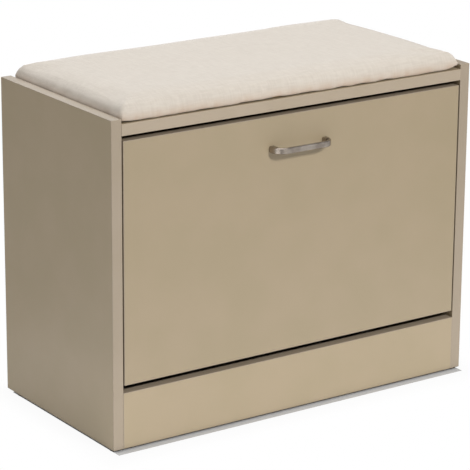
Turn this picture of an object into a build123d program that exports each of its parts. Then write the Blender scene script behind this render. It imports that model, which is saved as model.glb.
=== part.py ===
from build123d import *
import math
import os

# Entryway bench: a low cabinet with a padded seat and a front that tilts out on two
# pivots, carrying a rack for shoes. X runs left to right, Y front to back and Z up.
# The origin is on the floor, under the middle of the overall depth, handle included.
# All sizes are in millimetres.

# Carcass boards
bench_width = 600
bench_depth = 290
board = 16
side_height = 460
seat_drop = 7
plinth_height = 80
rail_height = 80
edge_radius = 0.8
glide_height = 3
glide_radius = 7.5
glide_rounding = 1.6
glide_floor = 1
glide_from_front = 10.5
glide_from_back = 31
nail_radius = 1.2
nail_length = 15
nail_head_radius = 3
nail_head = 1
nail_point = 0.8

# Back panel, slid into grooves
back_board = 3
back_inset = 16
groove_depth = 6
groove_play = 0.1
groove_end_play = 0.5
back_lift = 2
back_screw_rows = [-240, -120, 0, 120, 240]
back_screw_radius = 1.5
back_screw_length = 14
back_hole_radius = 1.6

# Cam fittings and dowels that join each board to the sides
cam_radius = 7.5
cam_pocket_depth = 12.5
cam_from_end = 34
cam_bore_radius = 3.6
bolt_thread_radius = 2.5
bolt_thread_length = 11
bolt_shaft_radius = 3
bolt_neck_radius = 1.6
bolt_neck = 5
bolt_head = 2
cam_disc_play = 0.3
cam_hollow_width = 6.6
cam_hollow_height = 6.8
cam_slot_length = 9
cam_slot_width = 1.4
cam_slot_depth = 1.5
dowel_radius = 4
dowel_length = 30
dowel_in_side = 10
dowel_chamfer = 0.8
dowel_from_edge = 20
seat_cam_rows = (50, 240)
seat_dowel_rows = (82, 208)
fit = 0.05
blind_end = 0.5

# Tilting front
flap_side_gap = 2
flap_bottom = 90.5
flap_top = 430
pivot_from_front = 21
pivot_height = 113
open_angle = 45
pin_radius = 4
pin_play = 0.05
bush_radius = 7
bush_collar_radius = 10
bush_collar = 1
bush_depth = 10
bush_end = 1.5
bush_rounding = 0.4
pin_end_gap = 2
pin_head_radius = 4.8
pin_head = 2
pin_chamfer = 0.5
cheek_pin_play = 0.02

# Stop pegs, each in a curved slot of a cheek
peg_swing = 120
peg_angle = 60
peg_radius = 3
peg_in_side = 10
peg_chamfer = 0.4
peg_tip_gap = 0.6
sleeve_end_gap = 0.1
sleeve_radius = 5
sleeve_play = 0.4

# Cheeks of the shoe rack
cheek_gap = 2.5
cheek_board = 3.5
cheek_flange = 24
flange_board = 3
channel_depth = 8
channel_wall = 2
channel_end = 0.3
rack_board = 5
rack_play = 0.1
rack_end_play = 0.2
rack_lean = 3
cheek_corner = 10
cheek_screw_rows = (140, 220, 300, 380)
cheek_screw_radius = 1.75
cheek_screw_length = 14
cheek_screw_in_flap = 12
cheek_hole_radius = 2.1

# Handle
handle_pitch = 89
handle_reach = 22
handle_bend = 18
handle_strap = 3.5
handle_height = 9
handle_foot = 8.5
handle_foot_length = 9
handle_centre = 384.5
handle_chamfer = 1.2
handle_screw_radius = 2
handle_screw_in_foot = 7.5
handle_bore = 8
flap_bore_radius = 2.25

# Cushion
cushion_width = 561
cushion_depth = 281
cushion_height = 25.5
cushion_corner = 22
cushion_crown = 11
cover_cloth = 1.2
cushion_base = 6
cushion_set_back = 2.5
cover_opening = 19.2
cover_play = 0.1
staple_span = 10
staple_wire = 0.8
staple_crown = 0.6
staple_leg = 5
staple_inset = 12
staple_pitch = 60
pad_height = 1.5
pad_side = 30
pad_rows = (200, 180)

# Places worked out from the sizes above
front = (handle_reach - bench_depth) / 2
back = front + bench_depth
base = glide_height
inner = bench_width / 2 - board
seat_top = base + side_height - seat_drop
seat_under = seat_top - board
back_face = back - back_inset
rail_front = back_face - board
pivot_y = front + pivot_from_front
pivot_z = base + pivot_height
cheek_outer = inner - cheek_gap
cheek_inner = cheek_outer - cheek_board
rack_half = cheek_inner - rack_end_play
low_corner = (Align.MIN, Align.MIN, Align.MIN)
mid_corner = (Align.CENTER, Align.MIN, Align.MIN)
upward = (Align.CENTER, Align.CENTER, Align.MIN)
downward = (Align.CENTER, Align.CENTER, Align.MAX)


def facing(point, direction, along=None):
    """A place at a point whose Z looks in a direction, and its X along another."""
    return Plane(origin=point, x_dir=along, z_dir=direction).location


def both_ends(rows):
    """Places on both ends of a board, looking outwards at the side panels."""
    return [
        facing((side * inner, y, z), (side, 0, 0)) for side in (-1, 1) for y, z in rows
    ]


def pan_screw(shaft_radius, length, head_radius, head_height):
    """A pan-head screw with its head's seat at Z 0 and its point downwards."""
    with BuildPart() as screw:
        Cylinder(shaft_radius, length, align=downward)
        Cylinder(head_radius, head_height, align=upward)
        fillet(screw.faces().sort_by(Axis.Z)[-1].edges(), head_height * 0.6)
        chamfer(screw.faces().sort_by(Axis.Z)[0].edges(), shaft_radius * 0.6)
        with Locations((0, 0, head_height)):
            Box(head_radius, head_radius / 4, head_height, mode=Mode.SUBTRACT)
            Box(head_radius / 4, head_radius, head_height, mode=Mode.SUBTRACT)
    return screw.part


# Rows of fasteners, as (y, z) on the inner faces of the sides
seat_mid = seat_top - board / 2
plinth_mid = front + board / 2
rail_mid = rail_front + board / 2
seat_cams = [(front + y, seat_mid) for y in seat_cam_rows]
seat_dowels = [(front + y, seat_mid) for y in seat_dowel_rows]
plinth_cams = [(plinth_mid, base + plinth_height / 2)]
plinth_dowels = [
    (plinth_mid, base + z) for z in (dowel_from_edge, plinth_height - dowel_from_edge)
]
rail_cams = [(rail_mid, base + rail_height / 2)]
rail_dowels = [
    (rail_mid, base + z) for z in (dowel_from_edge, rail_height - dowel_from_edge)
]
all_cams = seat_cams + plinth_cams + rail_cams
all_dowels = seat_dowels + plinth_dowels + rail_dowels
glide_rows = [front + glide_from_front, back - glide_from_back]
peg_y = pivot_y + peg_swing * math.cos(math.radians(peg_angle))
peg_z = pivot_z + peg_swing * math.sin(math.radians(peg_angle))


# The cam discs sit in pockets on each board's hidden face
def cam_places(rows, face, direction):
    """Pocket mouths for one board's cams; face gives the mouth's (y, z) for a row."""
    return [
        facing((side * (inner - cam_from_end), *face(y, z)), direction, (side, 0, 0))
        for side in (-1, 1)
        for y, z in rows
    ]


seat_pockets = cam_places(seat_cams, lambda y, z: (y, seat_under), (0, 0, -1))
plinth_pockets = cam_places(plinth_cams, lambda y, z: (front + board, z), (0, 1, 0))
rail_pockets = cam_places(rail_cams, lambda y, z: (rail_front, z), (0, -1, 0))


# Side panels, bored on their inner faces
with BuildPart() as side_panel_right:
    with Locations((inner, front, base)):
        Box(board, bench_depth, side_height, align=low_corner)
    fillet(side_panel_right.edges(), edge_radius)
    with Locations((inner, back_face - groove_play, base)):
        Box(
            groove_depth,
            back_board + 2 * groove_play,
            seat_under + groove_depth - base,
            align=low_corner,
            mode=Mode.SUBTRACT,
        )
    with Locations([facing((inner, y, z), (-1, 0, 0)) for y, z in all_dowels]):
        Hole(dowel_radius + fit, dowel_in_side + blind_end)
    with Locations([facing((inner, y, z), (-1, 0, 0)) for y, z in all_cams]):
        Hole(bolt_thread_radius + fit, bolt_thread_length + blind_end)
    with Locations(facing((inner, pivot_y, pivot_z), (-1, 0, 0))):
        Hole(bush_radius + fit, bush_depth + blind_end)
    with Locations(facing((inner, peg_y, peg_z), (-1, 0, 0))):
        Hole(peg_radius + fit, peg_in_side + blind_end)
    with Locations([facing((inner + board / 2, y, base), (0, 0, -1)) for y in glide_rows]):
        Hole(nail_radius + fit, nail_length)

with BuildPart() as side_panel_left:
    mirror(side_panel_right.part, about=Plane.YZ)

# Seat board, grooved beneath for the back panel
with BuildPart() as seat_board:
    with Locations((0, front, seat_under)):
        Box(2 * inner, bench_depth, board, align=mid_corner)
    fillet(seat_board.edges().filter_by(Axis.X), edge_radius)
    with Locations((0, back_face - groove_play, seat_under)):
        Box(
            2 * inner,
            back_board + 2 * groove_play,
            groove_depth,
            align=mid_corner,
            mode=Mode.SUBTRACT,
        )
    with Locations(both_ends(seat_dowels)):
        Hole(dowel_radius + fit, dowel_length - dowel_in_side + blind_end)
    with Locations(both_ends(seat_cams)):
        Hole(cam_bore_radius, cam_from_end)
    with Locations(seat_pockets):
        Hole(cam_radius, cam_pocket_depth)

# Plinth board under the tilting front
with BuildPart() as plinth:
    with Locations((0, front, base)):
        Box(2 * inner, board, plinth_height, align=mid_corner)
    fillet(plinth.edges().filter_by(Axis.X), edge_radius)
    with Locations(both_ends(plinth_dowels)):
        Hole(dowel_radius + fit, dowel_length - dowel_in_side + blind_end)
    with Locations(both_ends(plinth_cams)):
        Hole(cam_bore_radius, cam_from_end)
    with Locations(plinth_pockets):
        Hole(cam_radius, cam_pocket_depth)

# Rail across the back at the floor, with the back panel screwed to it
back_screw_z = base + rail_height / 2
back_screws_at = [
    facing((x, back_face + back_board, back_screw_z), (0, 1, 0)) for x in back_screw_rows
]
with BuildPart() as rear_rail:
    with Locations((0, rail_front, base)):
        Box(2 * inner, board, rail_height, align=mid_corner)
    fillet(rear_rail.edges().filter_by(Axis.X), edge_radius)
    with Locations(both_ends(rail_dowels)):
        Hole(dowel_radius + fit, dowel_length - dowel_in_side + blind_end)
    with Locations(both_ends(rail_cams)):
        Hole(cam_bore_radius, cam_from_end)
    with Locations(rail_pockets):
        Hole(cam_radius, cam_pocket_depth)
    with Locations(back_screws_at):
        Hole(back_screw_radius + fit, back_screw_length + 1)

with BuildPart() as back_panel:
    with Locations((0, back_face, base + back_lift)):
        Box(
            2 * (inner + groove_depth - groove_end_play),
            back_board,
            seat_under + groove_depth - groove_end_play - base - back_lift,
            align=mid_corner,
        )
    with Locations(back_screws_at):
        Hole(back_hole_radius, back_board)

# Screws to the back panel
back_screw = pan_screw(back_screw_radius, back_screw_length, 3, 1.6)
with BuildPart() as back_screws:
    with Locations(back_screws_at):
        add(back_screw)

# Dowels, cam bolts and cam discs
with BuildPart() as dowels:
    with Locations(both_ends(all_dowels)):
        with Locations((0, 0, dowel_in_side - dowel_length)):
            Cylinder(dowel_radius, dowel_length, align=upward)
    chamfer(dowels.edges().filter_by(GeomType.CIRCLE), dowel_chamfer)

with BuildPart() as cam_bolt:
    Cylinder(bolt_thread_radius, bolt_thread_length, align=upward)
    Cylinder(bolt_shaft_radius, cam_from_end - bolt_neck, align=downward)
    with Locations((0, 0, bolt_neck - cam_from_end)):
        Cylinder(bolt_neck_radius, bolt_neck, align=downward)
    with Locations((0, 0, -cam_from_end)):
        Cylinder(bolt_shaft_radius, bolt_head, align=downward)

with BuildPart() as cam_bolts:
    with Locations(both_ends(all_cams)):
        add(cam_bolt.part)

with BuildPart() as cam_disc:
    Cylinder(cam_radius - fit, cam_pocket_depth - cam_disc_play, align=downward)
    with Locations((-bolt_shaft_radius, 0, -board / 2)):
        Box(
            cam_radius + bolt_shaft_radius,
            cam_hollow_width,
            cam_hollow_height,
            align=(Align.MIN, Align.CENTER, Align.CENTER),
            mode=Mode.SUBTRACT,
        )
    Box(cam_slot_length, cam_slot_width, 2 * cam_slot_depth, mode=Mode.SUBTRACT)
    Box(cam_slot_width, cam_slot_length, 2 * cam_slot_depth, mode=Mode.SUBTRACT)

with BuildPart() as cam_discs:
    with Locations(seat_pockets + plinth_pockets + rail_pockets):
        add(cam_disc.part)

# Nail-on glides under the side panels
with BuildPart() as glide:
    Cylinder(glide_radius, glide_height, align=upward)
    fillet(glide.faces().sort_by(Axis.Z)[0].edges(), glide_rounding)
    with Locations((0, 0, glide_floor)):
        Cylinder(nail_head_radius + fit, nail_head + 2 * fit, align=upward, mode=Mode.SUBTRACT)
        Cylinder(nail_radius + fit, glide_height, align=upward, mode=Mode.SUBTRACT)

with BuildPart() as glide_nail:
    with Locations((0, 0, glide_floor + fit)):
        Cylinder(nail_head_radius, nail_head, align=upward)
        Cylinder(nail_radius, nail_length, align=upward)
    chamfer(glide_nail.faces().sort_by(Axis.Z)[-1].edges(), nail_point)

glide_places = [
    Location((side * (inner + board / 2), y, 0)) for side in (-1, 1) for y in glide_rows
]
with BuildPart() as foot_glides:
    with Locations(glide_places):
        add(glide.part)

with BuildPart() as glide_nails:
    with Locations(glide_places):
        add(glide_nail.part)

# Pivot bushes and stop pegs, pressed into the sides; Z looks into the cabinet
pivot_places = [facing((side * inner, pivot_y, pivot_z), (-side, 0, 0)) for side in (-1, 1)]
peg_places = [facing((side * inner, peg_y, peg_z), (-side, 0, 0)) for side in (-1, 1)]
with BuildPart() as bush:
    Cylinder(bush_radius, bush_depth, align=downward)
    Cylinder(bush_collar_radius, bush_collar, align=upward)
    fillet(bush.faces().sort_by(Axis.Z)[-1].edges(), bush_rounding)
    with Locations((0, 0, bush_collar)):
        Hole(pin_radius + pin_play, bush_collar + bush_depth - bush_end)

with BuildPart() as pivot_bushes:
    with Locations(pivot_places):
        add(bush.part)

peg_tip = cheek_gap + cheek_board - peg_tip_gap
with BuildPart() as stop_pegs:
    with Locations(peg_places):
        with Locations((0, 0, -peg_in_side)):
            Cylinder(peg_radius, peg_in_side + peg_tip, align=upward)
    chamfer(stop_pegs.edges().filter_by(GeomType.CIRCLE), peg_chamfer)

with BuildPart() as stop_sleeves:
    with Locations(peg_places):
        with Locations((0, 0, sleeve_end_gap)):
            Cylinder(sleeve_radius, peg_tip - sleeve_end_gap, align=upward)
        with Locations((0, 0, peg_tip)):
            Hole(peg_radius + fit, peg_tip)

# Tilting front panel, drilled for the handle and the cheeks
flap_width = 2 * (inner - flap_side_gap)
cheek_screw_x = cheek_inner - cheek_flange / 2
cheek_screws_at = [
    facing((side * cheek_screw_x, front + board + flange_board, base + z), (0, 1, 0))
    for side in (-1, 1)
    for z in cheek_screw_rows
]
handle_z = base + handle_centre
handle_holes = [
    facing((side * handle_pitch / 2, front + board, handle_z), (0, 1, 0)) for side in (-1, 1)
]
foot_bores = [
    facing((side * handle_pitch / 2, front, handle_z), (0, 1, 0)) for side in (-1, 1)
]
with BuildPart() as flap_panel:
    with Locations((0, front, base + flap_bottom)):
        Box(flap_width, board, flap_top - flap_bottom, align=mid_corner)
    fillet(flap_panel.edges(), edge_radius)
    with Locations(handle_holes):
        Hole(flap_bore_radius, board)
    with Locations(cheek_screws_at):
        Hole(cheek_screw_radius + fit, cheek_screw_in_flap + flange_board)

# Bow handle: a flat strap bent back to two thicker feet, drawn in plan from the middle
foot_outer = (handle_pitch + handle_foot) / 2
foot_inner = foot_outer - handle_foot
bend_x = foot_outer - handle_bend
bend_y = front - handle_reach + handle_bend
bar_outer = front - handle_reach
bar_inner = bar_outer + handle_strap
inner_bend = handle_bend - handle_strap
foot_end = front - handle_foot_length
foot_meets_bend = bend_x + math.sqrt(inner_bend**2 - (bend_y - foot_end) ** 2)
with BuildPart() as handle:
    with BuildSketch(Plane.XY.offset(handle_z - handle_height / 2)):
        with BuildLine():
            Line((0, bar_outer), (bend_x, bar_outer))
            CenterArc((bend_x, bend_y), handle_bend, -90, 90)
            Line((foot_outer, bend_y), (foot_outer, front))
            Line((foot_outer, front), (foot_inner, front))
            Line((foot_inner, front), (foot_inner, foot_end))
            Line((foot_inner, foot_end), (foot_meets_bend, foot_end))
            RadiusArc((foot_meets_bend, foot_end), (bend_x, bar_inner), inner_bend)
            Line((bend_x, bar_inner), (0, bar_inner))
            mirror(about=Plane.YZ)
        make_face()
    extrude(amount=handle_height)
    outline = handle.faces().filter_by(Axis.Z).edges()
    outside = outline.filter_by(
        lambda edge: edge.center().Y < bar_outer + 0.5 * handle_strap
        or (abs(edge.center().X) > bend_x + 0.6 * inner_bend and edge.length > handle_foot)
        or abs(edge.center().X) > foot_outer - 0.5
    )
    chamfer(outside, handle_chamfer)
    with Locations(foot_bores):
        Hole(handle_screw_radius + fit, handle_bore)

handle_screw = pan_screw(handle_screw_radius, board + handle_screw_in_foot, 4, 2.4)
with BuildPart() as handle_screws:
    with Locations(handle_holes):
        add(handle_screw)


# Boards of the shoe rack, each as its lower or front end, its angle and its length in YZ
rack_rows = {
    "rack_floor": ((front + board + flange_board + 0.3, base + 101.5), 0, 221.7),
    "rack_back": ((front + 244, base + 98.6), 90 + rack_lean, 205),
    "rack_divider": ((front + 130, base + 104.3), 90 + rack_lean, 235),
}


def rack_strip(name, thickness, extra=0):
    """One rack board's outline in YZ, with its length taken a little further each way."""
    (y, z), angle, length = rack_rows[name]
    with BuildSketch(Plane.YZ, mode=Mode.PRIVATE) as strip:
        with Locations(Location((y, z, 0), (0, 0, angle))):
            with Locations((-extra, 0)):
                Rectangle(length + 2 * extra, thickness, align=(Align.MIN, Align.CENTER))
    return strip.sketch_local


def rack_panel(name):
    """A rack board, held at its ends by the cheeks' channels."""
    with BuildPart() as panel:
        with BuildSketch(Plane.YZ.offset(-rack_half)):
            add(rack_strip(name, rack_board))
        extrude(amount=2 * rack_half)
    return panel


rack_floor = rack_panel("rack_floor")
rack_back = rack_panel("rack_back")
rack_divider = rack_panel("rack_divider")

# Cheeks of the rack: a plate with the pivot hole and the stop's slot, channels for the
# boards on the inner face, and a flange screwed to the tilting front
cheek_outline = [(board, 95), (252, 95), (241, 306), (125, 347), (60, 404), (board, 404)]
flange_low = base + 122
flange_high = base + 404
slot_width = 2 * (sleeve_radius + sleeve_play)
stop_track = CenterArc((pivot_y, pivot_z), peg_swing, peg_angle - open_angle, open_angle)
with BuildPart() as cheek_right:
    with BuildSketch(Plane.YZ.offset(cheek_inner)) as cheek_plate:
        with BuildLine():
            Polyline([(front + y, base + z) for y, z in cheek_outline], close=True)
        make_face()
        round_corners = cheek_plate.vertices().filter_by_position(Axis.X, front + board + 1, back)
        fillet(round_corners, cheek_corner)
        SlotArc(stop_track, slot_width, mode=Mode.SUBTRACT)
        with Locations((pivot_y, pivot_z)):
            Circle(pin_radius + cheek_pin_play, mode=Mode.SUBTRACT)
    extrude(amount=cheek_board)
    with BuildSketch(Plane.YZ.offset(cheek_inner - channel_depth)):
        for name in rack_rows:
            add(rack_strip(name, rack_board + 2 * (rack_play + channel_wall)))
        for name in rack_rows:
            strip = rack_strip(name, rack_board + 2 * rack_play, extra=channel_end)
            add(strip, mode=Mode.SUBTRACT)
    extrude(amount=channel_depth)
    with Locations((cheek_inner - cheek_flange, front + board, flange_low)):
        Box(cheek_flange, flange_board, flange_high - flange_low, align=low_corner)
    with Locations([place for place in cheek_screws_at if place.position.X > 0]):
        Hole(cheek_hole_radius, flange_board)

with BuildPart() as cheek_left:
    mirror(cheek_right.part, about=Plane.YZ)

cheek_screw = pan_screw(cheek_screw_radius, cheek_screw_length, 3.4, 2)
with BuildPart() as cheek_screws:
    with Locations(cheek_screws_at):
        add(cheek_screw)

# Pins that carry the rack in the bushes, headed on the cheeks' inner faces
with BuildPart() as pivot_pins:
    with Locations(pivot_places):
        with Locations((0, 0, pin_end_gap - bush_depth)):
            Cylinder(
                pin_radius,
                bush_depth - pin_end_gap + cheek_gap + cheek_board,
                align=upward,
            )
        with Locations((0, 0, cheek_gap + cheek_board)):
            Cylinder(pin_head_radius, pin_head, align=upward)
    rims = pivot_pins.edges().filter_by(GeomType.CIRCLE)
    chamfer(rims.filter_by(lambda edge: abs(edge.center().X) > inner), pin_chamfer)

# Cushion: cloth pulled over foam on a base, and stapled to the base's underside
cushion_low = seat_top + pad_height
cushion_high = cushion_low + cushion_height
cushion_mid = front + cushion_set_back + cushion_depth / 2
foam_low = cushion_low + cover_cloth + cushion_base


def padded_slab(inset, low, high, crown):
    """A slab with round corners and a rounded upper edge, inset from the cushion's side."""
    with BuildPart() as slab:
        with BuildSketch(Plane((0, cushion_mid, low))):
            RectangleRounded(
                cushion_width - 2 * inset, cushion_depth - 2 * inset, cushion_corner - inset
            )
        extrude(amount=high - low)
        if crown:
            fillet(slab.faces().sort_by(Axis.Z)[-1].edges(), crown)
    return slab.part


whole_cushion = padded_slab(0, cushion_low, cushion_high, cushion_crown)
filling = padded_slab(
    cover_cloth, cushion_low + cover_cloth, cushion_high - cover_cloth, cushion_crown - cover_cloth
)
open_underside = padded_slab(cover_opening, cushion_low - 1, cushion_low + cover_cloth + 1, 0)

leg_x = (staple_span - staple_wire) / 2
with BuildPart() as staple:
    Box(staple_span, 1, staple_crown, align=downward)
    with Locations((-leg_x, 0, 0), (leg_x, 0, 0)):
        Box(staple_wire, staple_wire, staple_leg, align=upward)

with BuildPart(Plane((0, cushion_mid, cushion_low))) as cushion_staples:
    with GridLocations(staple_pitch, cushion_depth - 2 * staple_inset, 9, 2):
        add(staple.part)
    with GridLocations(cushion_width - 2 * staple_inset, staple_pitch, 2, 4):
        add(staple.part, rotation=(0, 0, 90))

with BuildPart() as cushion_cover:
    add(whole_cushion)
    add(filling, mode=Mode.SUBTRACT)
    add(open_underside, mode=Mode.SUBTRACT)
    add(cushion_staples.part, mode=Mode.SUBTRACT)

with BuildPart() as cushion_board:
    add(padded_slab(cover_cloth + cover_play, cushion_low + cover_cloth, foam_low, 0))
    add(cushion_staples.part, mode=Mode.SUBTRACT)

with BuildPart() as cushion_foam:
    foam_high = cushion_high - cover_cloth - cover_play
    add(padded_slab(cover_cloth + cover_play, foam_low, foam_high, cushion_crown - cover_cloth))

# Hook-and-loop pads between the cushion and the seat board
with BuildPart(Plane((0, cushion_mid, seat_top))) as cushion_pads:
    with GridLocations(*pad_rows, 3, 2):
        Box(pad_side, pad_side, pad_height, align=upward)


pieces = {
    "side_panel_left": side_panel_left,
    "side_panel_right": side_panel_right,
    "seat_board": seat_board,
    "plinth": plinth,
    "rear_rail": rear_rail,
    "back_panel": back_panel,
    "back_screws": back_screws,
    "dowels": dowels,
    "cam_bolts": cam_bolts,
    "cam_discs": cam_discs,
    "foot_glides": foot_glides,
    "glide_nails": glide_nails,
    "pivot_bushes": pivot_bushes,
    "stop_pegs": stop_pegs,
    "stop_sleeves": stop_sleeves,
    "flap_panel": flap_panel,
    "handle": handle,
    "handle_screws": handle_screws,
    "cheek_left": cheek_left,
    "cheek_right": cheek_right,
    "cheek_screws": cheek_screws,
    "pivot_pins": pivot_pins,
    "rack_floor": rack_floor,
    "rack_divider": rack_divider,
    "rack_back": rack_back,
    "cushion_cover": cushion_cover,
    "cushion_foam": cushion_foam,
    "cushion_board": cushion_board,
    "cushion_staples": cushion_staples,
    "cushion_pads": cushion_pads,
}
os.makedirs("parts", exist_ok=True)
for name, piece in pieces.items():
    piece.part.label = name
    export_step(piece.part, f"parts/{name}.step")
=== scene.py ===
import math

import bmesh
import bpy
from mathutils import Matrix, Vector, noise


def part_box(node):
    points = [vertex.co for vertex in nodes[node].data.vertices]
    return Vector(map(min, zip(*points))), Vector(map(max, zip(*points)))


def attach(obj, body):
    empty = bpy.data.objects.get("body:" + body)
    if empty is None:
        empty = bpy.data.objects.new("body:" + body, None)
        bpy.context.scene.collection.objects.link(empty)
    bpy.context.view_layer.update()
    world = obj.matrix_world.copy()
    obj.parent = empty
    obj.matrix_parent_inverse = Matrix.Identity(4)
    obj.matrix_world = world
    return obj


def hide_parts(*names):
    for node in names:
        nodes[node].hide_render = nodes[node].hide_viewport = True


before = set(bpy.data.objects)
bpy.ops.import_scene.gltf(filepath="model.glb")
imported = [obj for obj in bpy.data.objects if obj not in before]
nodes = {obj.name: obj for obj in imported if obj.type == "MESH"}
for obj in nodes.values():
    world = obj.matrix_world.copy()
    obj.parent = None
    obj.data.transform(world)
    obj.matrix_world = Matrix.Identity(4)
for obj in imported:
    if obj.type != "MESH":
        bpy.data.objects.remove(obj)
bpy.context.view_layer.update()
scene = bpy.context.scene
print("frame loaded:", len(nodes), "nodes")


camera = {
    "azimuth": -34.61,
    "elevation": 17.26,
    "roll": 0.40,
    "distance": 3.558,
    "lens": 189.8,
    "target": (0, 0.0167, 0.2185),
}


def addCamera():
    turn = (
        Matrix.Rotation(math.radians(camera["azimuth"]), 4, "Z")
        @ Matrix.Rotation(math.radians(90 - camera["elevation"]), 4, "X")
        @ Matrix.Rotation(math.radians(camera["roll"]), 4, "Z")
    )
    lens = bpy.data.cameras.new("camera")
    lens.lens = camera["lens"]
    lens.sensor_width = 36
    lens.clip_start = 0.1
    lens.clip_end = 100
    eye = bpy.data.objects.new("camera", lens)
    back = turn @ Vector((0, 0, camera["distance"]))
    eye.matrix_world = Matrix.Translation(Vector(camera["target"]) + back) @ turn
    scene.collection.objects.link(eye)
    scene.camera = eye


addCamera()
print("camera placed")


class Wire:  # one output of a node; sums on it add Math nodes
    def __init__(self, finish, socket):
        self.finish = finish
        self.socket = socket

    def maths(self, operation, *values):
        sockets = {i: value for i, value in enumerate(values)}
        return self.finish.add("ShaderNodeMath", {"operation": operation}, sockets)

    def __add__(self, other):
        return self.maths("ADD", self, other)

    def __radd__(self, other):
        return self.maths("ADD", other, self)

    def __sub__(self, other):
        return self.maths("SUBTRACT", self, other)

    def __rsub__(self, other):
        return self.maths("SUBTRACT", other, self)

    def __mul__(self, other):
        return self.maths("MULTIPLY", self, other)

    def __rmul__(self, other):
        return self.maths("MULTIPLY", other, self)

    def __truediv__(self, other):
        return self.maths("DIVIDE", self, other)

    def __gt__(self, other):
        return self.maths("GREATER_THAN", self, other)

    def __lt__(self, other):
        return self.maths("LESS_THAN", self, other)

    def __abs__(self):
        return self.maths("ABSOLUTE", self)

    def least(self, other):
        return self.maths("MINIMUM", self, other)

    def most(self, other):
        return self.maths("MAXIMUM", self, other)

    def sine(self):
        return self.maths("SINE", self)

    def ramp(self, low, high):  # 0 below low, 1 above high, smooth between
        settings = {"interpolation_type": "SMOOTHSTEP"}
        return self.finish.add("ShaderNodeMapRange", settings, {0: self, 1: low, 2: high})


def tint(code, alpha=1):  # a colour written #rrggbb, as linear values
    parts = [int(code[i : i + 2], 16) / 255 for i in (1, 3, 5)]
    linear = [c / 12.92 if c < 0.04045 else ((c + 0.055) / 1.055) ** 2.4 for c in parts]
    return (*linear, alpha)


class Finish:  # a material under construction
    def __init__(self, name):
        self.material = bpy.data.materials.new(name)
        self.material.use_nodes = True
        self.tree = self.material.node_tree
        self.shader = self.tree.nodes["Principled BSDF"]

    def add(self, kind, settings=None, sockets=None, out=0):
        node = self.tree.nodes.new(kind)
        for key, value in (settings or {}).items():
            setattr(node, key, value)
        for key, value in (sockets or {}).items():
            self.join(node.inputs[key], value)
        return Wire(self, node.outputs[out])

    def join(self, socket, value):
        if isinstance(value, Wire):
            self.tree.links.new(value.socket, socket)
        else:
            socket.default_value = value

    def surface(self, **values):  # Base_Color=... sets the shader's Base Color
        for key, value in values.items():
            self.join(self.shader.inputs[key.replace("_", " ")], value)

    def place(self, stretch=(1, 1, 1)):
        own = self.add("ShaderNodeTexCoord", out="Object")
        return self.add("ShaderNodeMapping", None, {"Vector": own, "Scale": stretch})

    def along(self, axis, place=None):
        place = place or self.add("ShaderNodeTexCoord", out="Object")
        return self.add("ShaderNodeSeparateXYZ", None, {0: place}, out="XYZ".index(axis))

    def grain(self, scale, detail=2, rough=0.5, place=None, bend=0):
        sockets = {
            "Vector": place or self.place(),
            "Scale": scale,
            "Detail": detail,
            "Roughness": rough,
            "Distortion": bend,
        }
        return self.add("ShaderNodeTexNoise", None, sockets)

    def cells(self, scale, out="Distance"):
        sockets = {"Vector": self.place(), "Scale": scale}
        return self.add("ShaderNodeTexVoronoi", {"feature": "F1"}, sockets, out)

    def blend(self, share, first, second, how="MIX"):
        settings = {"data_type": "RGBA", "blend_type": how}
        return self.add("ShaderNodeMix", settings, {0: share, 6: first, 7: second}, out=2)

    def bump(self, height, depth):
        sockets = {"Height": height, "Distance": depth, "Strength": 1}
        return self.add("ShaderNodeBump", None, sockets)


def wear(finish, *names):  # gives a finish to carried-over nodes
    for name in names:
        slots = nodes[name].data.materials
        slots.clear()
        slots.append(finish.material)


foil = {
    "face": "#91826a",
    "faceCloud": "#8e8067",
    "band": "#908372",
    "bandCloud": "#8d806e",
    "glue": "#6d604c",
    "core": "#b08d5e",
    "coreChip": "#7c5d38",
    "bandThickness": 0.0009,
    "glueLine": 0.00012,
    "foilThickness": 0.00045,
    "cloudScale": 14,
    "fineScale": 900,
    "chipScale": 600,
    "peelScale": 420,
    "peelDepth": 0.00005,
    "roughness": 0.42,
    # painted light: the seat board's edge is brightened against the cushion's shade, the
    # plinth for light bounced off the floor
    "paintedLightTones": {"seat_board": 1.16, "plinth": 1.1},
}


# Foil-faced particle board: the faces are foil, the four edges a bonded band
def boardFinish(name, faceAxis):
    low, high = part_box(name)
    finish = Finish("foil_" + name)
    depth = {}
    for i, axis in enumerate("XYZ"):
        middle = (low[i] + high[i]) / 2
        half = (high[i] - low[i]) / 2
        depth[axis] = half - abs(finish.along(axis) - middle)
    sides = [depth[axis] for axis in "XYZ" if axis != faceAxis]
    fromEdge = sides[0].least(sides[1])
    banded = fromEdge < foil["bandThickness"]
    glue = 1 - (abs(fromEdge - foil["bandThickness"]) / foil["glueLine"]).ramp(0.4, 1.2)
    cut = fromEdge.least(depth[faceAxis]) > foil["foilThickness"]
    cloudy = finish.grain(foil["cloudScale"], 3)
    fine = finish.grain(foil["fineScale"], 2)
    clouds = cloudy.ramp(0.3, 0.7)
    face = finish.blend(clouds, tint(foil["face"]), tint(foil["faceCloud"]))
    band = finish.blend(clouds, tint(foil["band"]), tint(foil["bandCloud"]))
    colour = finish.blend(banded, face, band)
    # Painted light: this per-piece lift brightens the seat board's front edge against the
    # cushion's shade, and the plinth as if lit by the floor's bounce
    tone = foil["paintedLightTones"].get(name, 1)
    colour = finish.blend(1, colour, (tone, tone, tone, 1), "MULTIPLY")
    colour = finish.blend(glue * 0.35, colour, tint(foil["glue"]))
    chips = finish.cells(foil["chipScale"])
    core = finish.blend(chips.ramp(0.1, 0.6), tint(foil["coreChip"]), tint(foil["core"]))
    colour = finish.blend(cut, colour, core)
    peel = finish.grain(foil["peelScale"], 2, 0.6)
    rough = foil["roughness"] + (fine - 0.5) * 0.10 + (cloudy - 0.5) * 0.08 + cut * 0.4
    height = peel * 0.6 + fine * 0.4 + cut * chips * 2 - glue * 0.6
    bump = finish.bump(height, foil["peelDepth"])
    finish.surface(Base_Color=colour, Roughness=rough, Normal=bump)
    return finish


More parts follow.
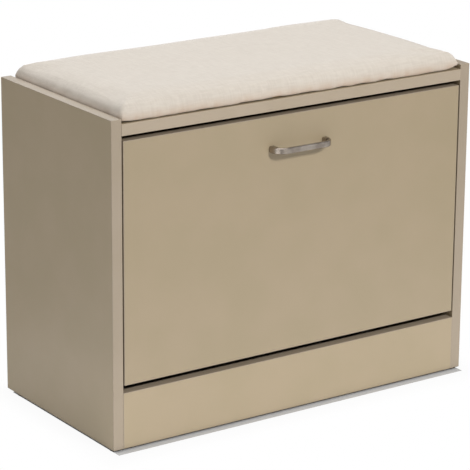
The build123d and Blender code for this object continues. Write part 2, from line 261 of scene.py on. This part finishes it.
faceAxes = {
    "side_panel_left": "X",
    "side_panel_right": "X",
    "seat_board": "Z",
    "plinth": "Y",
    "rear_rail": "Y",
    "flap_panel": "Y",
}
for boardName, faceAxis in faceAxes.items():
    wear(boardFinish(boardName, faceAxis), boardName)
print("boards finished")


hardboard = {
    "dark": "#6a4a31",
    "light": "#8d6a49",
    "cloud": "#7a5a3d",
    "fibreScale": 260,
    "screenScale": 700,
    "roughness": 0.72,
    "depth": 0.00015,
}


def hardboardFinish():
    finish = Finish("hardboard")
    fibres = finish.grain(hardboard["fibreScale"], 5, 0.7, finish.place((1, 1, 3)))
    cloudy = finish.grain(9, 3)
    screen = finish.cells(hardboard["screenScale"])  # the print on the rough side
    light = tint(hardboard["light"])
    colour = finish.blend(fibres.ramp(0.35, 0.7), tint(hardboard["dark"]), light)
    colour = finish.blend(cloudy.ramp(0.3, 0.7) * 0.4, colour, tint(hardboard["cloud"]))
    bump = finish.bump(fibres * 0.7 + screen * 0.6, hardboard["depth"])
    rough = hardboard["roughness"] + fibres * 0.15
    finish.surface(Base_Color=colour, Roughness=rough, Normal=bump)
    return finish


rackLook = {"light": "#b3a78f", "dark": "#a89b82", "roughness": 0.5, "depth": 0.00004}


def rackFinish():
    finish = Finish("rack_board")
    cloudy = finish.grain(20, 3)
    fine = finish.grain(700, 2)
    light = tint(rackLook["light"])
    colour = finish.blend(cloudy.ramp(0.3, 0.7), light, tint(rackLook["dark"]))
    rough = rackLook["roughness"] + (fine - 0.5) * 0.1
    finish.surface(Base_Color=colour, Roughness=rough)
    finish.surface(Normal=finish.bump(fine, rackLook["depth"]))
    return finish


wood = {"pore": "#6b4b2c", "streakScale": 500, "poreScale": 2200, "depth": 0.00006}


def woodFinish(name, light, dark, stretch):
    finish = Finish(name)
    run = finish.place(stretch)
    streaks = finish.grain(wood["streakScale"], 4, 0.6, run, 0.4)
    pores = finish.grain(wood["poreScale"], 1, 0.5, run).ramp(0.62, 0.7)
    colour = finish.blend(streaks.ramp(0.35, 0.65), tint(light), tint(dark))
    colour = finish.blend(pores * 0.5, colour, tint(wood["pore"]))
    finish.surface(Base_Color=colour, Roughness=0.6 + streaks * 0.1)
    finish.surface(Normal=finish.bump(streaks - pores, wood["depth"]))
    return finish


zinc = {"light": "#b9bab8", "dark": "#9ea1a3", "roughness": 0.28, "depth": 0.00002}


def zincFinish():
    finish = Finish("zinc")
    spangle = finish.cells(900, out="Color")
    scuffs = finish.grain(1500, 3, 0.6, finish.place((1, 1, 0.15)))
    tone = finish.along("X", spangle)
    colour = finish.blend(tone * 0.6, tint(zinc["light"]), tint(zinc["dark"]))
    rough = zinc["roughness"] + scuffs * 0.18
    finish.surface(Base_Color=colour, Metallic=1, Roughness=rough)
    finish.surface(Normal=finish.bump(scuffs, zinc["depth"]))
    return finish


def plasticFinish(name, light, dark, roughness, gritScale=1600, gritDepth=0.00004):
    finish = Finish(name)
    grit = finish.grain(gritScale, 2, 0.6)
    cloudy = finish.grain(30, 2)
    colour = finish.blend(cloudy.ramp(0.3, 0.7), tint(light), tint(dark))
    finish.surface(Base_Color=colour, Roughness=roughness + (grit - 0.5) * 0.15)
    finish.surface(Normal=finish.bump(grit, gritDepth))
    return finish


pads = {"hooks": "#2a2826", "backing": "#0e0d0c", "depth": 0.0004}


def hookFinish():
    finish = Finish("hook_pad")
    loops = finish.cells(1400)
    hooks = tint(pads["hooks"])
    colour = finish.blend(loops.ramp(0.1, 0.5), hooks, tint(pads["backing"]))
    finish.surface(Base_Color=colour, Roughness=0.95)
    finish.surface(Normal=finish.bump(loops, pads["depth"]))
    return finish


handleLook = {
    "light": "#b9b0a6",
    "dark": "#978d83",
    "roughness": 0.24,
    "strokeScale": 5200,
    "strokeDepth": 0.000012,
}


def handleFinish():
    finish = Finish("brushed_nickel")
    strokes = finish.grain(handleLook["strokeScale"], 3, 0.7, finish.place((0.02, 1, 1)))
    broad = finish.grain(60, 2).ramp(0.3, 0.7)
    colour = finish.blend(broad, tint(handleLook["light"]), tint(handleLook["dark"]))
    rough = handleLook["roughness"] + (strokes - 0.5) * 0.16
    finish.surface(Base_Color=colour, Metallic=1, Roughness=rough)
    finish.surface(Normal=finish.bump(strokes, handleLook["strokeDepth"]))
    return finish


wear(hardboardFinish(), "back_panel")
wear(rackFinish(), "rack_floor", "rack_divider", "rack_back")
wear(woodFinish("dowel_wood", "#d6b483", "#bd9460", (0.08, 1, 1)), "dowels")
wear(woodFinish("base_wood", "#c9ab7c", "#a98756", (0.1, 1, 1)), "cushion_board")
wear(
    zincFinish(),
    "back_screws",
    "cam_bolts",
    "cam_discs",
    "glide_nails",
    "stop_pegs",
    "handle_screws",
    "cheek_screws",
    "pivot_pins",
    "cushion_staples",
)
wear(plasticFinish("cheek_plastic", "#232221", "#1b1a1a", 0.5), "cheek_left", "cheek_right")
wear(plasticFinish("bush_plastic", "#d5cfc1", "#c8c1b1", 0.4), "pivot_bushes")
wear(plasticFinish("glide_plastic", "#4b433a", "#3d362f", 0.5), "foot_glides")
wear(plasticFinish("rubber", "#1a1918", "#121111", 0.8, 900, 0.00008), "stop_sleeves")
wear(hookFinish(), "cushion_pads")
wear(handleFinish(), "handle")
print("fittings finished")


cushion = {
    "sideGap": 0.0003,
    "frontStep": 0.0014,
    "backStep": 0.0012,
    "underGap": 0.0005,
    "corner": 0.006,
    "topRounding": 0.012,
    "roundSegments": 8,
    "voxel": 0.0042,
    "pressure": 4.0,
    "frames": 20,
    "stretchStiffness": 20,
    "shearStiffness": 8,
    "bendStiffness": 1.5,
    "travel": 0.0032,
    "smoothing": 6,
    "boardGap": 0.0015,
    "facing": 0.4,
    "dent": 0.0017,
    "dentsPerMetre": 42,
    "dentInside": (0.004, 0.028),
    "dentRise": (0.010, 0.026),
    "sag": 0.0006,
    "sagsPerMetre": 7,
    "sagRise": (0.012, 0.02),
    "crown": 0.0055,
    "crownReach": 0.05,
    "crownRise": (0.006, 0.018),
    "leftLift": 0.0016,
    "leftCorner": (0.034, 0.008),
    "rightLift": 0.0034,
    "rightCorner": (0.019, 0.003),
    "liftDepth": 0.034,
    "liftFade": 0.02,
    "liftRise": (0.001, 0.014),
    "flatRise": 0.001,
    "flatInside": 0.02,
    "fill": 0.75,
    "light": "#bab2a7",
    "dark": "#b1a89d",
    "cloud": "#b7afa4",
    # painted shade: colour and height of the darkening at the cushion's foot
    "paintedFootShade": "#a8937f",
    "paintedShadeHeight": 0.018,
    "threads": 1250,
    "weaveDepth": 0.0003,
}


def bevelEdges(mesh, edges, width):
    bmesh.ops.bevel(
        mesh,
        geom=edges,
        offset=width,
        offset_type="OFFSET",
        segments=cushion["roundSegments"],
        affect="EDGES",
        profile=0.5,
        material=-1,
    )


def slabBetween(low, high):
    mesh = bmesh.new()
    size = high - low
    place = Matrix.Translation((low + high) / 2) @ Matrix.Diagonal((*size, 1))
    bmesh.ops.create_cube(mesh, size=1, matrix=place)
    upright = [e for e in mesh.edges if abs(e.verts[0].co.z - e.verts[1].co.z) > size.z / 2]
    bevelEdges(mesh, upright, cushion["corner"])
    top = [e for e in mesh.edges if all(v.co.z > high.z - 1e-5 for v in e.verts)]
    bevelEdges(mesh, top, cushion["topRounding"])
    return mesh


def pieceOf(name, mesh):
    data = bpy.data.meshes.new(name)
    mesh.to_mesh(data)
    mesh.free()
    piece = bpy.data.objects.new(name, data)
    scene.collection.objects.link(piece)
    return piece


def applyModifiers(piece):
    now = bpy.context.evaluated_depsgraph_get()
    flat = bpy.data.meshes.new_from_object(piece.evaluated_get(now), depsgraph=now)
    piece.modifiers.clear()
    piece.data = flat


def remesh(piece, voxel):
    grid = piece.modifiers.new("grid", "REMESH")
    grid.mode = "VOXEL"
    grid.voxel_size = voxel
    applyModifiers(piece)


# Movements are averaged with their neighbours', so that the grid doesn't show
def smoothed(piece, moves, rounds):
    ends = [tuple(edge.vertices) for edge in piece.data.edges]
    for _ in range(rounds):
        sums = [move.copy() for move in moves]
        counts = [1] * len(moves)
        for a, b in ends:
            sums[a] += moves[b]
            sums[b] += moves[a]
            counts[a] += 1
            counts[b] += 1
        moves = [total / count for total, count in zip(sums, counts)]
    return moves


def inflate(piece, stiffTop):
    held = piece.vertex_groups.new(name="held")
    flatSide = [v.index for v in piece.data.vertices if v.co.z < stiffTop]
    held.add(flatSide, 1, "REPLACE")
    cloth = piece.modifiers.new("cloth", "CLOTH")
    settings = cloth.settings
    settings.vertex_group_mass = "held"
    settings.use_pressure = True
    settings.uniform_pressure_force = cushion["pressure"]
    settings.effector_weights.gravity = 0
    settings.quality = 6
    settings.tension_stiffness = cushion["stretchStiffness"]
    settings.compression_stiffness = cushion["stretchStiffness"]
    settings.shear_stiffness = cushion["shearStiffness"]
    settings.bending_stiffness = cushion["bendStiffness"]
    cloth.collision_settings.use_collision = False
    cloth.point_cache.frame_start = 1
    cloth.point_cache.frame_end = cushion["frames"]
    start = [v.co.copy() for v in piece.data.vertices]
    for step in range(1, cushion["frames"] + 1):
        scene.frame_set(step)
    applyModifiers(piece)
    scene.frame_set(1)
    moves = []
    for vertex, home in zip(piece.data.vertices, start):
        moved = vertex.co - home
        share = cushion["travel"] * math.tanh(moved.length / cushion["travel"])
        moves.append(moved.normalized() * share)
    moves = smoothed(piece, moves, cushion["smoothing"])
    for vertex, home, move in zip(piece.data.vertices, start, moves):
        vertex.co = home + move
    piece.vertex_groups.clear()


def fade(value, start, end):  # 0 at start, 1 at end, smooth between
    share = max(0.0, min(1.0, (value - start) / (end - start)))
    return share * share * (3 - 2 * share)


# Cloth at the base board's height stays outside the board
def clearBoard(vertex, normal, low, high):
    gap = cushion["boardGap"]
    if vertex.co.z > high.z + gap:
        return
    for axis in (0, 1):
        if normal[axis] < -cushion["facing"]:
            vertex.co[axis] = min(vertex.co[axis], low[axis] - gap)
        if normal[axis] > cushion["facing"]:
            vertex.co[axis] = max(vertex.co[axis], high[axis] + gap)


# How far a point sinks: dents round the sides, and a slow sag on the top
def sunk(place, inside, rise):
    atFoot = 1 - fade(rise, *cushion["dentRise"])
    side = (1 - fade(inside, *cushion["dentInside"])) * atFoot
    upright = Vector((place.x, place.y, place.z * 0.3)) * cushion["dentsPerMetre"]
    dents = 0.35 + noise.noise(upright) + 0.45 * noise.noise(upright * 2.3)
    slow = noise.noise(Vector((place.x, place.y, 3.7)) * cushion["sagsPerMetre"])
    sag = (1 - side) * cushion["sag"] * slow * fade(rise, *cushion["sagRise"])
    return side * cushion["dent"] * dents + sag


# How far a point drops towards an end, or lifts at a lower front corner
def dropped(place, low, high, rise):
    toSide = min(place.x - low.x, high.x - place.x)
    toEnd = 1 - min(1, toSide / cushion["crownReach"])
    drop = cushion["crown"] * toEnd**2 * fade(rise, *cushion["crownRise"])
    toFront = fade(low.y + cushion["liftDepth"] - place.y, 0, cushion["liftFade"])
    front = toFront * (1 - fade(rise, *cushion["liftRise"]))
    start, end = cushion["rightCorner"]
    right = cushion["rightLift"] * fade(place.x, high.x - start, high.x - end)
    start, end = cushion["leftCorner"]
    left = cushion["leftLift"] * fade(-place.x, -low.x - start, -low.x - end)
    return drop - front * (right + left)


# The cushion settles into its place between the side panels
def settle(piece, low, high):
    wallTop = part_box("side_panel_left")[1].z
    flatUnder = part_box("cushion_cover")[0].z
    boardLow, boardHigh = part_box("cushion_board")
    piece.data.update()
    normals = [v.normal.copy() for v in piece.data.vertices]
    for vertex, normal in zip(piece.data.vertices, normals):
        home = vertex.co.copy()
        inside = min(home.x - low.x, high.x - home.x, home.y - low.y, high.y - home.y)
        rise = home.z - low.z
        vertex.co = home - normal * sunk(home, inside, rise)
        vertex.co.z -= dropped(home, low, high, rise)
        if rise < cushion["flatRise"] and inside > cushion["flatInside"]:
            vertex.co.z = flatUnder
        if vertex.co.z < wallTop + 0.001:
            vertex.co.x = max(low.x, min(high.x, vertex.co.x))
        if rise > cushion["flatRise"]:
            clearBoard(vertex, normal, boardLow, boardHigh)


# Each face's own plane, so that the weave runs straight on every side
def unfold(piece):
    layer = piece.data.uv_layers.new(name="weave")
    planes = ((1, 2), (0, 2), (0, 1))
    for face in piece.data.polygons:
        facing = max(range(3), key=lambda axis: abs(face.normal[axis]))
        across, up = planes[facing]
        for corner in face.loop_indices:
            place = piece.data.vertices[piece.data.loops[corner].vertex_index].co
            layer.data[corner].uv = (place[across], place[up])


def clothFinish(low):
    finish = Finish("linen")
    cloudy = finish.grain(45, 3, 0.6)
    slubsAcross = finish.grain(420, 2, 0.6, finish.place((0.12, 1, 1)))
    slubsAlong = finish.grain(420, 2, 0.6, finish.place((1, 0.12, 0.12)))
    mix = slubsAcross * 0.5 + slubsAlong * 0.5
    colour = finish.blend(mix.ramp(0.35, 0.65), tint(cushion["dark"]), tint(cushion["light"]))
    colour = finish.blend(cloudy.ramp(0.3, 0.7) * 0.3, colour, tint(cushion["cloud"]))
    # Painted shade: the cloth darkens towards the foot of the cushion, in vertical streaks,
    # where it meets the board
    foot = 1 - finish.along("Z").ramp(low.z, low.z + cushion["paintedShadeHeight"])
    shadeRipples = finish.grain(55, 2, 0.5, finish.place((1, 1, 0.2))).ramp(0.35, 0.7)
    shade = foot * (0.55 + shadeRipples * 0.35)
    colour = finish.blend(shade, colour, tint(cushion["paintedFootShade"]))
    weave = finish.add("ShaderNodeUVMap", {"uv_map": "weave"})
    turn = 2 * math.pi * cushion["threads"]
    warp = (finish.along("X", weave) * turn).sine()
    weft = (finish.along("Y", weave) * turn).sine()
    finish.surface(Base_Color=colour, Roughness=0.9)
    height = mix + abs(warp * weft) * 0.1
    finish.surface(Normal=finish.bump(height, cushion["weaveDepth"]))
    finish.surface(Sheen_Weight=0.25, Sheen_Roughness=0.5)
    return finish


def makeCushion():
    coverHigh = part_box("cushion_cover")[1]
    seatLow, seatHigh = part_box("seat_board")
    left = seatLow.x + cushion["sideGap"]
    right = seatHigh.x - cushion["sideGap"]
    front = seatLow.y + cushion["frontStep"]
    low = Vector((left, front, seatHigh.z + cushion["underGap"]))
    high = Vector((right, coverHigh.y + cushion["backStep"], coverHigh.z))
    piece = pieceOf("cushion", slabBetween(low, high))
    remesh(piece, cushion["voxel"])
    inflate(piece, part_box("cushion_board")[1].z)
    settle(piece, low, high)
    unfold(piece)
    for face in piece.data.polygons:
        face.use_smooth = True
    piece.data.materials.append(clothFinish(low).material)
    smooth = piece.modifiers.new("smooth", "SUBSURF")
    smooth.levels = 1
    smooth.render_levels = 1
    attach(piece, "cabinet")
    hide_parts("cushion_cover", "cushion_foam")


makeCushion()
print("cushion made")


# Floor, lamps and sky
studio = {
    "floorSide": 24,
    "floorColour": (0.5, 0.5, 0.5, 1),
    "skyStrength": 0.38,
    "backdropStrength": 1.0,
    "bench": (0.3, 0.146),
    "whiteNear": 0.94,
    "paperEdge": -0.002,
    "shadowStart": -0.004,
    "shadowReach": 0.05,
    "cardHeight": 0.002,
}
benchMiddle = (0, 0, 0.25)
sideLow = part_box("side_panel_left")[0]
lamps = {  # place, aim, width, length, watts
    "key": ((0.4, -3.05, 2.2), benchMiddle, 0.45, 0.45, 100),
    "left": ((-2.4, 0.75, 1.0), benchMiddle, 0.7, 1.6, 15.5),
    "top": ((0, 0, 2.3), (0, 0, 0), 1.8, 1.8, 17),
    "back": ((0.3, 1.6, 1.8), benchMiddle, 1.2, 1.2, 18),
    "low": ((0, -2.2, 0.2), (0, 0, 0.2), 1.3, 0.3, 2.5),
}
bounces = {  # light off the floor beside the bench, as cards: place, width, length, watts
    "front_card": ((0, sideLow.y - 0.255), 1.3, 0.5, 1.6),
    "corner_card": ((-1.1, -0.62), 0.5, 0.8, 2.4),
    "left_card": ((sideLow.x - 0.252, 0), 0.5, 0.7, 0.5),
}


# White paper as the camera sees it, away from the bench's own footprint
def whiten(finish):
    overX = abs(finish.along("X")) - studio["bench"][0]
    overY = abs(finish.along("Y")) - studio["bench"][1]
    beside = overX.most(overY).ramp(studio["shadowStart"], studio["shadowReach"])
    seen = finish.add("ShaderNodeLightPath", out="Is Camera Ray")
    glow = finish.tree.nodes.new("ShaderNodeEmission")
    share = seen * (studio["whiteNear"] + beside * (1 - studio["whiteNear"]))
    share = share * (overX.most(overY) > studio["paperEdge"])
    mix = finish.tree.nodes.new("ShaderNodeMixShader")
    finish.join(mix.inputs[0], share)
    finish.tree.links.new(finish.shader.outputs[0], mix.inputs[1])
    finish.tree.links.new(glow.outputs[0], mix.inputs[2])
    finish.tree.links.new(mix.outputs[0], finish.tree.nodes["Material Output"].inputs[0])


def addFloor():
    mesh = bmesh.new()
    bmesh.ops.create_grid(mesh, x_segments=1, y_segments=1, size=studio["floorSide"] / 2)
    floor = pieceOf("floor", mesh)
    finish = Finish("paper")
    finish.surface(Base_Color=studio["floorColour"], Roughness=0.9)
    whiten(finish)
    floor.data.materials.append(finish.material)


def addLamp(name, at, target, width, length, watts):
    light = bpy.data.lights.new(name, "AREA")
    light.shape = "RECTANGLE"
    light.size = width
    light.size_y = length
    light.energy = watts
    lamp = bpy.data.objects.new(name, light)
    aim = (Vector(target) - Vector(at)).to_track_quat("-Z", "Y")
    lamp.matrix_world = Matrix.Translation(at) @ aim.to_matrix().to_4x4()
    lamp.visible_camera = False
    scene.collection.objects.link(lamp)


def addSky():  # a white backdrop to look at, and a dimmer sky to light the bench
    world = bpy.data.worlds.new("sky")
    world.use_nodes = True
    tree = world.node_tree
    light = tree.nodes["Background"]
    light.inputs["Color"].default_value = (1, 1, 1, 1)
    light.inputs["Strength"].default_value = studio["skyStrength"]
    backdrop = tree.nodes.new("ShaderNodeBackground")
    backdrop.inputs["Color"].default_value = (1, 1, 1, 1)
    backdrop.inputs["Strength"].default_value = studio["backdropStrength"]
    ray = tree.nodes.new("ShaderNodeLightPath")
    choice = tree.nodes.new("ShaderNodeMixShader")
    tree.links.new(ray.outputs["Is Camera Ray"], choice.inputs["Fac"])
    tree.links.new(light.outputs[0], choice.inputs[1])
    tree.links.new(backdrop.outputs[0], choice.inputs[2])
    tree.links.new(choice.outputs[0], tree.nodes["World Output"].inputs["Surface"])
    scene.world = world
    scene.view_settings.view_transform = "Standard"


addFloor()
for lampName, settings in lamps.items():
    addLamp(lampName, *settings)
for cardName, ((x, y), width, length, watts) in bounces.items():
    at = (x, y, studio["cardHeight"])
    addLamp(cardName, at, (x, y, 1), width, length, watts)
addSky()
print("floor and lights placed")
